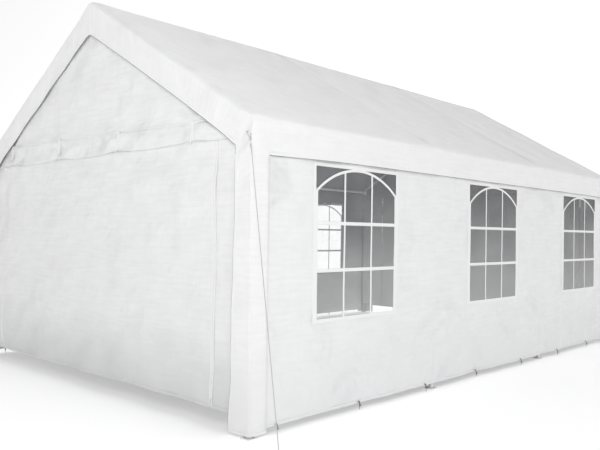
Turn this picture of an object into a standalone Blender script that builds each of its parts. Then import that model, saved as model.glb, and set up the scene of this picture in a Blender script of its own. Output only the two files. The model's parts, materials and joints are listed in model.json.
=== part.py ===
"""A marquee tent: steel tube frame, sheet cover, window walls, roll-up end doors and guy ropes.

Metres, +Z up. The origin is on the ground at the middle of the footprint. The ridge runs
along Y, the front end is at -Y, and right is +X as seen from the front.
"""
import math

import bmesh
import bpy
from mathutils import Matrix, Vector

# Driving dimensions of the cover, measured on its outer faces
LENGTH = 6.0
WIDTH = 3.86
EAVE_HEIGHT = 1.93
ROOF_PITCH = math.radians(30.0)
VALANCE_DEPTH = 0.21
BAYS = 3
COVER_THICKNESS = 0.004
WALL_THICKNESS = 0.003
GAP = 0.0003

# Frame tubes, their fittings and the foot plates
TUBE_RADIUS = 0.019
FITTING_RADIUS = 0.0215
ELBOW_RADIUS = 0.0200
FITTING_REACH = 0.075
FITTING_HEEL = 0.012
FOOT_SIZE = 0.080
FOOT_THICKNESS = 0.005
FOOT_CORNER = 0.008

# Gable flaps with the sleeves that run down over the corner posts
FLAP_BAND_HEIGHT = 0.29
FLAP_CROWN_RADIUS = 0.12
SLEEVE_WIDTH = 0.17
SLEEVE_RETURN = 0.143
SLEEVE_HEM = 0.026

# Long walls and their windows, one to a bay
WALL_HEM = 0.043
WALL_TOP = 1.900
WINDOW_WIDTH = 0.87
WINDOW_SILL = 0.662
WINDOW_HEAD = 1.684
FILM_THICKNESS = 0.0012

# End walls and their zipped roll-up doors
END_WALL_HEM = 0.120
DOOR_WIDTH = 3.10
DOOR_HEAD = 1.825

# Guy ropes, from each eave corner to a ground peg
ROPE_RADIUS = 0.003
ROPE_TOP = 1.80
ROPE_BOTTOM = 0.034
PEG_OUT_X = 0.67
PEG_OUT_Y = 0.40
PEG_RADIUS = 0.005
PEG_HEIGHT = 0.050

# Places that follow from the driving dimensions
HALF_WIDTH = WIDTH / 2
HALF_LENGTH = LENGTH / 2
SLOPE = math.tan(ROOF_PITCH)
RIDGE_HEIGHT = EAVE_HEIGHT + HALF_WIDTH * SLOPE
COVER_INNER_X = HALF_WIDTH - COVER_THICKNESS
COVER_INNER_Y = HALF_LENGTH - COVER_THICKNESS
WALL_OUTER_X = COVER_INNER_X - GAP
WALL_INNER_X = WALL_OUTER_X - WALL_THICKNESS
POST_X = WALL_INNER_X - GAP - FITTING_RADIUS
END_FRAME_Y = COVER_INNER_Y - GAP - FITTING_RADIUS
END_WALL_OUTER_Y = END_FRAME_Y - FITTING_RADIUS - GAP
END_WALL_MID_Y = END_WALL_OUTER_Y - WALL_THICKNESS / 2
BAY_LENGTH = 2 * END_FRAME_Y / BAYS
RIDGE_AXIS_Z = RIDGE_HEIGHT - (COVER_THICKNESS + GAP + FITTING_RADIUS) / math.cos(ROOF_PITCH)
EAVE_AXIS_Z = RIDGE_AXIS_Z - POST_X * SLOPE

SIDES = {"left": -1, "right": 1}
ENDS = {"front": -1, "rear": 1}
FRAMES = {
    "front": -END_FRAME_Y,
    "second": -BAY_LENGTH / 2,
    "third": BAY_LENGTH / 2,
    "rear": END_FRAME_Y,
}
BAY_NAMES = ["front", "middle", "rear"]
ROUND_SIDES = 24
RUN_SLEEVE_SIDES = 18

ALONG_Y = Vector((0, 1, 0))
UPRIGHT = Vector((0, 0, 1))


def clear_scene():
    """Remove every object that the new file starts with."""
    for item in list(bpy.data.objects):
        bpy.data.objects.remove(item, do_unlink=True)


def make_collection(name):
    collection = bpy.data.collections.new(name)
    bpy.context.scene.collection.children.link(collection)
    return collection


def make_material(name, colour, roughness, metallic=0.0, alpha=1.0):
    material = bpy.data.materials.new(name)
    material.use_nodes = True
    shader = material.node_tree.nodes["Principled BSDF"]
    shader.inputs["Base Color"].default_value = (*colour, 1.0)
    shader.inputs["Roughness"].default_value = roughness
    shader.inputs["Metallic"].default_value = metallic
    shader.inputs["Alpha"].default_value = alpha
    material.diffuse_color = (*colour, alpha)
    return material


def add_object(name, mesh, material, collection=None):
    item = bpy.data.objects.new(name, mesh)
    (collection or PARTS).objects.link(item)
    if material is not None:
        mesh.materials.clear()
        mesh.materials.append(material)
    return item


def shade_round(mesh):
    mesh.shade_smooth()
    mesh.set_sharp_from_angle(angle=math.radians(40))


def cylinder_mesh(name, start, end, radius, sides=ROUND_SIDES):
    """A closed cylinder whose axis runs from start to end."""
    start, end = Vector(start), Vector(end)
    axis = end - start
    turn = UPRIGHT.rotation_difference(axis).to_matrix().to_4x4()
    place = Matrix.Translation((start + end) / 2) @ turn
    shape = bmesh.new()
    bmesh.ops.create_cone(
        shape, cap_ends=True, segments=sides, radius1=radius, radius2=radius,
        depth=axis.length, matrix=place)
    mesh = bpy.data.meshes.new(name)
    shape.to_mesh(mesh)
    shape.free()
    shade_round(mesh)
    return mesh


def box_mesh(name, low, high):
    """A closed box between two corners."""
    low, high = Vector(low), Vector(high)
    place = Matrix.Translation((low + high) / 2) @ Matrix.Diagonal((*(high - low), 1))
    shape = bmesh.new()
    bmesh.ops.create_cube(shape, size=1, matrix=place)
    mesh = bpy.data.meshes.new(name)
    shape.to_mesh(mesh)
    shape.free()
    return mesh


def tube(name, start, end, material, radius=TUBE_RADIUS):
    return add_object(name, cylinder_mesh(name, start, end, radius), material)


def tool(name, mesh):
    """A shape that is only joined to a part or cut from it."""
    item = add_object(name, mesh, None, TOOLS)
    item.hide_render = True
    item.display_type = "WIRE"
    return item


def combine(item, tools, operation):
    for other in tools:
        step = item.modifiers.new(f"{operation.lower()} {other.name}", "BOOLEAN")
        step.operation = operation
        step.solver = "EXACT"
        step.object = other
    seam = item.modifiers.new("close seams", "WELD")
    seam.merge_threshold = 0.0001
    return item


def flat_sheet(name, outlines, thickness, place, material):
    """A flat sheet from closed outlines; an outline inside another one is a hole."""
    curve = bpy.data.curves.new(name, "CURVE")
    curve.dimensions = "2D"
    curve.fill_mode = "BOTH"
    curve.extrude = thickness / 2
    for outline in outlines:
        spline = curve.splines.new("POLY")
        spline.points.add(len(outline) - 1)
        for point, (across, height) in zip(spline.points, outline):
            point.co = (across, height, 0, 1)
        spline.use_cyclic_u = True
    drawn = add_object(name + "_outline", curve, None, TOOLS)
    drawn.matrix_world = place
    bpy.context.view_layer.update()
    evaluated = drawn.evaluated_get(bpy.context.evaluated_depsgraph_get())
    mesh = bpy.data.meshes.new_from_object(evaluated)
    mesh.name = name
    bpy.data.objects.remove(drawn, do_unlink=True)
    shape = bmesh.new()
    shape.from_mesh(mesh)
    bmesh.ops.remove_doubles(shape, verts=shape.verts, dist=0.00001)
    bmesh.ops.recalc_face_normals(shape, faces=shape.faces)
    shape.to_mesh(mesh)
    shape.free()
    item = add_object(name, mesh, material)
    item.matrix_world = place
    return item


def facing_y(middle_y):
    """A place whose sheet stands in the XZ plane at the given Y."""
    return Matrix.Translation((0, middle_y, 0)) @ Matrix.Rotation(math.radians(90), 4, "X")


def facing_x(middle_x):
    """A place whose sheet stands in the YZ plane at the given X."""
    turn = Matrix.Rotation(math.radians(90), 4, "Z") @ Matrix.Rotation(math.radians(90), 4, "X")
    return Matrix.Translation((middle_x, 0, 0)) @ turn


def rectangle(low_across, high_across, low, high):
    return [(low_across, low), (high_across, low), (high_across, high), (low_across, high)]


def eave_point(side, frame_y):
    return Vector((side * POST_X, frame_y, EAVE_AXIS_Z))


def ridge_point(frame_y):
    return Vector((0, frame_y, RIDGE_AXIS_Z))


def rafter_direction(side):
    """From the ridge down to the eave on one side."""
    return Vector((side * math.cos(ROOF_PITCH), 0, -math.sin(ROOF_PITCH)))


def run_arm(frame_name):
    """The fitting's arm along Y: it reaches each way in which the frame has a neighbour."""
    low = FITTING_HEEL if frame_name == "front" else FITTING_REACH
    high = FITTING_HEEL if frame_name == "rear" else FITTING_REACH
    return -ALONG_Y * low, ALONG_Y * high


def elbow(name, centre, first, second):
    """Two sleeves that meet at a mitre: one is drawn, cut at the mitre plane and mirrored."""
    across = (first - second).normalized()
    upward = -(first + second).normalized()
    axes = Matrix((across, upward.cross(across), upward)).transposed().to_4x4()
    half_angle = first.angle(second) / 2
    arm = Vector((math.sin(half_angle), 0, -math.cos(half_angle)))
    mesh = cylinder_mesh(name, -arm * ELBOW_RADIUS, arm * FITTING_REACH, ELBOW_RADIUS)
    shape = bmesh.new()
    shape.from_mesh(mesh)
    everything = shape.verts[:] + shape.edges[:] + shape.faces[:]
    bmesh.ops.bisect_plane(
        shape, geom=everything, dist=0.000001, plane_co=(0, 0, 0), plane_no=(1, 0, 0),
        clear_inner=True)
    shape.to_mesh(mesh)
    shape.free()
    item = add_object(name, mesh, STEEL)
    item.matrix_world = Matrix.Translation(centre) @ axes
    mirror = item.modifiers.new("second sleeve", "MIRROR")
    mirror.use_axis = (True, False, False)
    mirror.merge_threshold = 0.00001
    return item


def run_sleeve(name, centre, frame_name):
    """The sleeve for the tubes along Y, with fewer sides than the elbow that it crosses."""
    start, end = run_arm(frame_name)
    mesh = cylinder_mesh(name, centre + start, centre + end, FITTING_RADIUS, RUN_SLEEVE_SIDES)
    return tool(name, mesh)


def make_post(frame_name, frame_y, side_name, side):
    """An eave fitting on top of an upright, with the foot plate below."""
    name = f"post_{frame_name}_{side_name}"
    top = eave_point(side, frame_y)
    item = elbow(name, top, -UPRIGHT, -rafter_direction(side))
    foot = Vector((top.x, top.y, FOOT_THICKNESS / 2))
    shaft = cylinder_mesh(f"{name}_shaft", foot, top - UPRIGHT * FITTING_REACH / 2, TUBE_RADIUS)
    half = Vector((FOOT_SIZE, FOOT_SIZE, FOOT_THICKNESS)) / 2
    plate = tool(f"{name}_plate", box_mesh(f"{name}_plate", foot - half, foot + half))
    edge = plate.modifiers.new("rounded corners", "BEVEL")
    edge.width = FOOT_CORNER
    edge.segments = 3
    edge.limit_method = "WEIGHT"
    mark_upright_edges(plate.data)
    sleeve = run_sleeve(f"{name}_run", top, frame_name)
    return combine(item, [sleeve, tool(f"{name}_shaft", shaft), plate], "UNION")


def mark_upright_edges(mesh):
    """Give the upright edges of a box a bevel weight, so that only they are rounded."""
    weights = mesh.attributes.new("bevel_weight_edge", "FLOAT", "EDGE")
    for edge in mesh.edges:
        first, second = (mesh.vertices[index].co for index in edge.vertices)
        weights.data[edge.index].value = float(abs(first.z - second.z) > FOOT_THICKNESS / 2)


def make_ridge_fitting(frame_name, frame_y):
    """The elbow under the ridge that takes both rafters, with the sleeves of the ridge tubes."""
    name = f"ridge_fitting_{frame_name}"
    centre = ridge_point(frame_y)
    item = elbow(name, centre, rafter_direction(-1), rafter_direction(1))
    return combine(item, [run_sleeve(f"{name}_run", centre, frame_name)], "UNION")


def make_frame():
    """Posts, rafters, and the ridge and eave tubes that join the four frames."""
    seat = FITTING_REACH + GAP
    for frame_name, frame_y in FRAMES.items():
        make_ridge_fitting(frame_name, frame_y)
        for side_name, side in SIDES.items():
            make_post(frame_name, frame_y, side_name, side)
            down = rafter_direction(side)
            start = ridge_point(frame_y) + down * seat
            end = eave_point(side, frame_y) - down * seat
            tube(f"rafter_{frame_name}_{side_name}", start, end, STEEL)
    stations = list(FRAMES.values())
    for bay_name, near, far in zip(BAY_NAMES, stations, stations[1:]):
        tube(f"ridge_tube_{bay_name}", ridge_point(near) + ALONG_Y * seat,
             ridge_point(far) - ALONG_Y * seat, STEEL)
        for side_name, side in SIDES.items():
            tube(f"eave_tube_{bay_name}_{side_name}", eave_point(side, near) + ALONG_Y * seat,
                 eave_point(side, far) - ALONG_Y * seat, STEEL)


def make_roof_cover():
    """Two slopes and two hanging valances: a folded line drawn along Y, thickened inwards."""
    profile = [
        (-HALF_WIDTH, EAVE_HEIGHT - VALANCE_DEPTH),
        (-HALF_WIDTH, EAVE_HEIGHT),
        (0, RIDGE_HEIGHT),
        (HALF_WIDTH, EAVE_HEIGHT),
        (HALF_WIDTH, EAVE_HEIGHT - VALANCE_DEPTH),
    ]
    end_y = COVER_INNER_Y - GAP
    shape = bmesh.new()
    line = [shape.verts.new((across, -end_y, height)) for across, height in profile]
    edges = [shape.edges.new(pair) for pair in zip(line, line[1:])]
    drawn = bmesh.ops.extrude_edge_only(shape, edges=edges)
    moved = [part for part in drawn["geom"] if isinstance(part, bmesh.types.BMVert)]
    bmesh.ops.translate(shape, verts=moved, vec=(0, 2 * end_y, 0))
    bmesh.ops.recalc_face_normals(shape, faces=shape.faces)
    lowest = min(shape.faces, key=lambda face: face.calc_center_median().x)
    if lowest.normal.x > 0:
        bmesh.ops.reverse_faces(shape, faces=shape.faces)
    mesh = bpy.data.meshes.new("roof_cover")
    shape.to_mesh(mesh)
    shape.free()
    item = add_object("roof_cover", mesh, COVER)
    shell = item.modifiers.new("sheet thickness", "SOLIDIFY")
    shell.thickness = COVER_THICKNESS
    shell.offset = -1
    shell.use_even_offset = True
    return item


def flap_inner_edge():
    """The lower edge of a gable band: two slopes joined by an arc at the crown."""
    corner_height = RIDGE_HEIGHT - FLAP_BAND_HEIGHT
    inner_x = HALF_WIDTH - SLEEVE_WIDTH
    arc_centre = corner_height - FLAP_CROWN_RADIUS / math.cos(ROOF_PITCH)
    arc = []
    steps = 8
    for step in range(steps + 1):
        angle = ROOF_PITCH * (1 - 2 * step / steps)
        across = FLAP_CROWN_RADIUS * math.sin(angle)
        arc.append((across, arc_centre + FLAP_CROWN_RADIUS * math.cos(angle)))
    low = corner_height - inner_x * SLOPE
    return [(inner_x, low)] + arc + [(-inner_x, low)]


def make_gable_flap(end_name, end):
    """A band under the verge with a sleeve down each corner, which turns onto the long side."""
    name = f"{end_name}_gable_flap"
    inner_x = HALF_WIDTH - SLEEVE_WIDTH
    outline = [
        (-HALF_WIDTH, SLEEVE_HEM),
        (-HALF_WIDTH, EAVE_HEIGHT),
        (0, RIDGE_HEIGHT),
        (HALF_WIDTH, EAVE_HEIGHT),
        (HALF_WIDTH, SLEEVE_HEM),
        (inner_x, SLEEVE_HEM),
    ]
    outline += flap_inner_edge() + [(-inner_x, SLEEVE_HEM)]
    middle = end * (HALF_LENGTH - COVER_THICKNESS / 2)
    item = flat_sheet(name, [outline], COVER_THICKNESS, facing_y(middle), COVER)
    returns = []
    for side_name, side in SIDES.items():
        near, far = sorted((end * HALF_LENGTH, end * (HALF_LENGTH - SLEEVE_RETURN)))
        inner, outer = sorted((side * COVER_INNER_X, side * HALF_WIDTH))
        top = EAVE_HEIGHT - VALANCE_DEPTH - GAP
        label = f"{name}_return_{side_name}"
        mesh = box_mesh(label, (inner, near, SLEEVE_HEM), (outer, far, top))
        returns.append(tool(label, mesh))
    return combine(item, returns, "UNION")


def make_long_wall(side_name, side):
    """A wall panel with a window opening in each bay, and a clear film in each opening."""
    end_y = COVER_INNER_Y - GAP
    outlines = [rectangle(-end_y, end_y, WALL_HEM, WALL_TOP)]
    middle_x = side * (WALL_OUTER_X - WALL_THICKNESS / 2)
    half = WINDOW_WIDTH / 2
    for number, bay_name in enumerate(BAY_NAMES):
        centre = (number - (BAYS - 1) / 2) * BAY_LENGTH
        outlines.append(rectangle(centre - half, centre + half, WINDOW_SILL, WINDOW_HEAD))
        pane = rectangle(centre - half + GAP, centre + half - GAP,
                         WINDOW_SILL + GAP, WINDOW_HEAD - GAP)
        flat_sheet(f"window_{bay_name}_{side_name}", [pane], FILM_THICKNESS,
                   facing_x(middle_x), FILM)
    return flat_sheet(f"{side_name}_wall", outlines, WALL_THICKNESS, facing_x(middle_x), WALL)


def make_end_wall(end_name, end):
    """A gable wall notched round the fittings, with a zipped door that fills its opening."""
    edge_x = WALL_INNER_X - GAP
    half_door = DOOR_WIDTH / 2
    edge_top = RIDGE_AXIS_Z - edge_x * SLOPE
    outline = [
        (-edge_x, END_WALL_HEM),
        (-half_door - GAP, END_WALL_HEM),
        (-half_door - GAP, DOOR_HEAD + GAP),
        (half_door + GAP, DOOR_HEAD + GAP),
        (half_door + GAP, END_WALL_HEM),
        (edge_x, END_WALL_HEM),
        (edge_x, edge_top),
        (0, RIDGE_AXIS_Z),
        (-edge_x, edge_top),
    ]
    place = facing_y(end * END_WALL_MID_Y)
    item = flat_sheet(f"{end_name}_end_wall", [outline], WALL_THICKNESS, place, WALL)
    frame_y = end * END_FRAME_Y
    reach = ALONG_Y * FITTING_REACH
    notches = []
    centres = [eave_point(-1, frame_y), ridge_point(frame_y), eave_point(1, frame_y)]
    for number, centre in enumerate(centres):
        label = f"{end_name}_end_wall_notch_{number}"
        mesh = cylinder_mesh(label, centre - reach, centre + reach, FITTING_RADIUS + GAP)
        notches.append(tool(label, mesh))
    combine(item, notches, "DIFFERENCE")
    door = rectangle(-half_door, half_door, END_WALL_HEM, DOOR_HEAD)
    flat_sheet(f"{end_name}_door", [door], WALL_THICKNESS, place, WALL)


def make_guy_rope(end_name, end, side_name, side):
    """A taut rope from the eave corner to the head of its ground peg."""
    name = f"guy_rope_{end_name}_{side_name}"
    stand_off = (ROPE_RADIUS + GAP) / math.sqrt(2)
    start = Vector((side * (HALF_WIDTH + stand_off), end * (HALF_LENGTH + stand_off), ROPE_TOP))
    peg_x = side * (HALF_WIDTH + PEG_OUT_X)
    peg_y = end * (HALF_LENGTH + PEG_OUT_Y)
    item = tube(name, start, Vector((peg_x, peg_y, ROPE_BOTTOM)), ROPE, ROPE_RADIUS)
    mesh = cylinder_mesh(f"{name}_peg", (peg_x, peg_y, 0), (peg_x, peg_y, PEG_HEIGHT), PEG_RADIUS)
    return combine(item, [tool(f"{name}_peg", mesh)], "UNION")


clear_scene()
PARTS = make_collection("marquee_tent")
TOOLS = make_collection("cutters")
STEEL = make_material("white coated steel", (0.83, 0.84, 0.84), 0.35)
COVER = make_material("cover sheet", (0.85, 0.85, 0.85), 0.62)
WALL = make_material("wall sheet", (0.82, 0.82, 0.82), 0.66)
FILM = make_material("clear window film", (0.55, 0.57, 0.58), 0.12, alpha=0.35)
ROPE = make_material("rope", (0.62, 0.62, 0.60), 0.85)

make_frame()
make_roof_cover()
for wall_side, sign in SIDES.items():
    make_long_wall(wall_side, sign)
for wall_end, sign in ENDS.items():
    make_gable_flap(wall_end, sign)
    make_end_wall(wall_end, sign)
    for rope_side, across_sign in SIDES.items():
        make_guy_rope(wall_end, sign, rope_side, across_sign)
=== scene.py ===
# %% [markdown]
# # A white party marquee
#
# White steel tubes carry a sewn cover of woven polyethylene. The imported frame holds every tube,
# and one plain slab for each sheet. This lesson keeps the tubes and hides the slabs. It sews
# each sheet again as a thin surface that sags, creases where it is tied and ends in a hem.

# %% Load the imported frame
import json
import math

import bmesh
import bpy
import numpy as np
from mathutils import Matrix, Vector


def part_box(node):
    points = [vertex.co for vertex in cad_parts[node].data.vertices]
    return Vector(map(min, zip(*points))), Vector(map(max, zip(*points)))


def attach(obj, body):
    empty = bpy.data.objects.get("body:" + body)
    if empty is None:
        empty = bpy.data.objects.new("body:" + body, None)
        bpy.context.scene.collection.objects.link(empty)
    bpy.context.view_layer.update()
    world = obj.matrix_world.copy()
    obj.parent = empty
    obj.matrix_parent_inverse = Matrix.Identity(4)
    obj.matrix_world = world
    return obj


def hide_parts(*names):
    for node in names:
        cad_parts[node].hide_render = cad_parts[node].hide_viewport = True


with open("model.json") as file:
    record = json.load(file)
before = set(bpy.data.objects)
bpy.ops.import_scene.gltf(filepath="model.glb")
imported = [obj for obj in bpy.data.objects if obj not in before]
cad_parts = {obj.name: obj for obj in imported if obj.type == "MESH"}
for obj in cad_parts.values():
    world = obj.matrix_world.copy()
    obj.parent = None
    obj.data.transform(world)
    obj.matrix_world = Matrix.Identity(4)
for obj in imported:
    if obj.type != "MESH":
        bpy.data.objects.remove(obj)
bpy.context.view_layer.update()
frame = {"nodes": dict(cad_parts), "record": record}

# %% [markdown]
# ## Sizes
#
# Nothing is measured twice. The sheets take their places from the boxes of the slabs that they
# replace, and the posts stand where the record says that the feet rest.

# %% Sizes from the frame
cover_low, cover_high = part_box("roof_cover")
flap_low, flap_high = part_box("front_gable_flap")
wall_low, wall_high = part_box("right_wall")
pane_low, pane_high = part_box("window_middle_right")
end_low, end_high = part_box("front_end_wall")
door_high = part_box("front_door")[1]
feet = {mount["name"]: Vector(mount["pos_m"]) for mount in frame["record"]["mounts"]}

PITCH = math.radians(30)
SLOPE = math.tan(PITCH)
HALF_WIDTH, HALF_LENGTH = cover_high.x, -flap_low.y
RIDGE_Z = cover_high.z
EAVE_Z = RIDGE_Z - HALF_WIDTH * SLOPE
VALANCE_Z = cover_low.z
SLEEVE_Z = flap_low.z - 0.014
RETURN_Y = -flap_high.y
WALL_X = wall_high.x
WALL_END_Y = wall_high.y - 0.035
WALL_Z, WALL_TOP_Z = wall_low.z, wall_high.z
END_Y, END_EDGE_X, END_Z = -end_low.y, end_high.x, end_low.z
DOOR_X, DOOR_Z = door_high.x, door_high.z
POST_X = feet["foot_second_right"].x
BAY = -2 * feet["foot_second_right"].y
FRAME_Y = BAY * np.array([-1.5, -0.5, 0.5, 1.5])
WINDOW_HALF = (pane_high.y - pane_low.y) / 2 + 0.015
WINDOW_Y = {"front": -BAY, "middle": 0.0, "rear": BAY}
SILL_Z, HEAD_Z = pane_low.z, pane_high.z
SIDES = {"left": -1, "right": 1}
ENDS = {"front": -1, "rear": 1}
print(f"cover {2 * HALF_WIDTH:.2f} by {2 * HALF_LENGTH:.2f} m, eave {EAVE_Z:.2f}, ridge {RIDGE_Z:.2f}")
print(f"end walls at {END_Y:.3f}, flaps at {HALF_LENGTH:.3f}")

# %% [markdown]
# ## Camera
#
# The camera stands off the near corner at about chest height. Its forward direction comes from
# a heading and a pitch, and a small roll then turns its two other axes about that direction.

# %% Camera
PHOTO_WIDTH, FOCAL_PIXELS = 600, 686.8
SENSOR_WIDTH = 36.0
CAMERA_PLACE = Vector((4.947, -5.774, 1.223))
HEADING, LOOK_UP, ROLL = -0.758, 0.014, 0.014


def add_object(name, data, matrix=Matrix()):
    made = bpy.data.objects.new(name, data)
    made.matrix_world = matrix
    bpy.context.scene.collection.objects.link(made)
    return made


def camera_matrix(place, heading, look_up, roll):
    """Columns are right, up and backward, with right and up turned by the roll."""
    forward = Vector((math.sin(heading) * math.cos(look_up),
                      math.cos(heading) * math.cos(look_up), math.sin(look_up)))
    right = Vector((math.cos(heading), -math.sin(heading), 0))
    up = right.cross(forward)
    rolled_right = math.cos(roll) * right + math.sin(roll) * up
    rolled_up = math.cos(roll) * up - math.sin(roll) * right
    turn = Matrix((rolled_right, rolled_up, -forward)).transposed().to_4x4()
    return Matrix.Translation(place) @ turn


lens = bpy.data.cameras.new("camera")
lens.sensor_width = SENSOR_WIDTH
lens.lens = FOCAL_PIXELS * SENSOR_WIDTH / PHOTO_WIDTH
bpy.context.scene.camera = add_object("camera", lens,
                                      camera_matrix(CAMERA_PLACE, HEADING, LOOK_UP, ROLL))
print(f"lens {lens.lens:.1f} mm")

# %% [markdown]
# ## Working with grids
#
# Every sheet is one grid of points, worked out as whole numpy arrays. A few helpers turn grids,
# flat strips, round tubes and turned shapes into meshes. All but the sheets come back as
# points, faces and cloth coordinates, so that many of them can be joined into one piece.

# %% Meshes from arrays
SHARP_ANGLE = math.radians(35)
SHEET_THICK = 0.0012


def together(*values):
    """Arrays or numbers, one for each coordinate, as one array of points."""
    return np.stack(np.broadcast_arrays(*values), axis=-1)


def new_piece(name, points, faces, material, uv, closed=True):
    """A mesh object from points and faces; a closed one gets outward faces from its volume."""
    mesh = bpy.data.meshes.new(name)
    mesh.from_pydata(points.tolist(), [], faces)
    corner = np.empty(len(mesh.loops), np.int32)
    mesh.loops.foreach_get("vertex_index", corner)
    layer = mesh.uv_layers.new(name="cloth")
    layer.data.foreach_set("uv", uv.astype(np.float32)[corner].ravel())
    if closed:
        shape = bmesh.new()
        shape.from_mesh(mesh)
        bmesh.ops.recalc_face_normals(shape, faces=shape.faces)
        shape.to_mesh(mesh)
        shape.free()
    mesh.materials.append(material)
    mesh.shade_smooth()
    mesh.set_sharp_from_angle(angle=SHARP_ANGLE)
    piece = add_object(name, mesh)
    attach(piece, "root")
    return piece


def sheet_piece(name, points, uv, material, outward, keep=None, thickness=SHEET_THICK, lining=None):
    """A sheet from a grid of points, facing outward, thickened inwards, with its own inner face.

    Each cell of the grid is one quad, and keep says which cells stay.
    """
    index = np.arange(uv.size // 2).reshape(uv.shape[:2])
    faces = together(index[:-1, :-1], index[:-1, 1:], index[1:, 1:], index[1:, :-1])
    faces = faces[keep] if keep is not None else faces.reshape(-1, 4)
    used, faces = np.unique(faces, return_inverse=True)
    flat, faces = points.reshape(-1, 3)[used], faces.reshape(-1, 4)
    first, second = flat[faces[:, 2]] - flat[faces[:, 0]], flat[faces[:, 3]] - flat[faces[:, 1]]
    if np.cross(first, second).sum(axis=0) @ np.array(outward, float) < 0:
        faces = faces[:, ::-1]
    piece = new_piece(name, flat, faces.tolist(), material, uv.reshape(-1, 2)[used], closed=False)
    shell = piece.modifiers.new("thickness", "SOLIDIFY")
    shell.thickness, shell.offset = thickness, -1
    if lining is not None:
        piece.data.materials.append(lining)
        shell.material_offset = 1
    return piece


def flat_grid(across, up):
    """Two coordinate grids, and both together as the flat place of each point in the cloth."""
    first, second = np.meshgrid(across, up)
    return first, second, together(first, second)


def spaced(stops, step):
    """Numbers from the first stop to the last, about a step apart, that land on every stop."""
    parts = [np.array(stops[:1], float)]
    for low, high in zip(stops, stops[1:]):
        count = max(1, round(abs(high - low) / step))
        parts.append(np.linspace(low, high, count + 1)[1:])
    return np.concatenate(parts)


# %% Strips, tubes and turned shapes
def unit(vectors):
    return vectors / np.linalg.norm(vectors, axis=-1, keepdims=True)


def path_length(path):
    """How far along the path each of its points lies."""
    steps = np.linalg.norm(np.diff(path, axis=0), axis=1)
    return np.concatenate([[0.0], np.cumsum(steps)])


def skin(points, along, around, loop=False):
    """A closed skin over rows of points: each row closes on itself, and the ends are capped."""
    index = np.arange(points.size // 3).reshape(points.shape[:2])
    here, ahead = (index, np.roll(index, -1, axis=0)) if loop else (index[:-1], index[1:])
    quads = together(here, np.roll(here, -1, axis=1), np.roll(ahead, -1, axis=1), ahead)
    caps = [] if loop else [index[0].tolist(), index[-1].tolist()]
    uv = together(along, around).reshape(-1, 2)
    return points.reshape(-1, 3), quads.reshape(-1, 4).tolist() + caps, uv


def sweep(path, first, second, section, loop=False):
    """A closed section carried along a path: point = path + a times first + b times second."""
    section = np.array(section, float)
    first, second = (np.asarray(way)[..., None, :] for way in (first, second))
    points = path[:, None] + section[:, :1] * first + section[:, 1:] * second
    around = path_length(np.vstack([section, section[:1]]))[:-1]
    return skin(points, path_length(path)[:, None], around, loop)


def strip(path, across, outward, width, thick, sunk=0.0):
    """A flat strip along a path, from sunk below the path to thick above it, with eased edges."""
    half, ease = width / 2, thick / 2
    section = [(-half, -sunk), (-half, thick - ease), (ease - half, thick),
               (half - ease, thick), (half, thick - ease), (half, -sunk)]
    return sweep(path, across, outward, section)


def tube(path, radius, reference, sides=8, loop=False):
    """A round cord: the section is a circle square to the path, set out from a fixed reference."""
    along = unit(np.roll(path, -1, axis=0) - np.roll(path, 1, axis=0) if loop
                 else np.gradient(path, axis=0))
    first = unit(np.cross(along, reference))
    angle = np.arange(sides) * 2 * math.pi / sides
    circle = radius * together(np.cos(angle), np.sin(angle))
    return sweep(path, first, np.cross(along, first), circle, loop)


def circle_about(axis, count):
    """Directions that stand evenly round an axis and square to it."""
    axis = unit(np.asarray(axis))
    first = unit(np.cross(axis, (0, 0, 1) if abs(axis[2]) < 0.9 else (1, 0, 0)))
    angle = np.arange(count)[:, None] * 2 * math.pi / count
    return np.cos(angle) * first + np.sin(angle) * np.cross(axis, first)


def ring(centre, axis, radius, thick, points=16):
    return tube(centre + radius * circle_about(axis, points), thick, axis, 6, loop=True)


def turned(base, axis, profile, sides=10):
    """A shape turned about an axis: point = base + height along the axis + radius times a circle."""
    radius, height = np.array(profile, float).T[:, :, None, None]
    points = base + height * unit(np.asarray(axis)) + radius * circle_about(axis, sides)
    return skin(points, np.arange(sides) * 2 * math.pi / sides / 100, height[:, :, 0])


def joined_piece(name, shapes, material):
    """Several shapes as one piece: their points follow each other and the faces are renumbered."""
    faces, start = [], 0
    for points, shape_faces, _ in shapes:
        faces += [[start + number for number in face] for face in shape_faces]
        start += len(points)
    points, _, uv = zip(*shapes)
    return new_piece(name, np.concatenate(points), faces, material, np.concatenate(uv))


def smooth_path(knots, count):
    """A curve through knots: each stretch is the cubic that leaves along its neighbours' chord."""
    padded = np.vstack([2 * knots[0] - knots[1], knots, 2 * knots[-1] - knots[-2]])
    place = np.linspace(0, len(knots) - 1, count)
    start = np.minimum(place.astype(int), len(knots) - 2)
    t = (place - start)[:, None]
    before, first, second, after = (padded[start + shift] for shift in range(4))
    return first + 0.5 * t * (second - before + t * (
        2 * before - 5 * first + 4 * second - after
        + t * (3 * first - 3 * second + after - before)))


print("mesh helpers ready")

# %% [markdown]
# ## How sheet creases
#
# Woven polyethylene is stiff and light. Three shapes cover most of what it does: long shallow
# ripples, a seeded sum of plane waves; crisp creases, where the waves are folded at zero; and
# fans of small folds that start where the sheet is tied, sewn or pulled.

# %% Ripples, creases and fans of folds
WAVES = 9


def ramp(value):
    """A value kept between nothing and one."""
    return np.clip(value, 0, 1)


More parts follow.
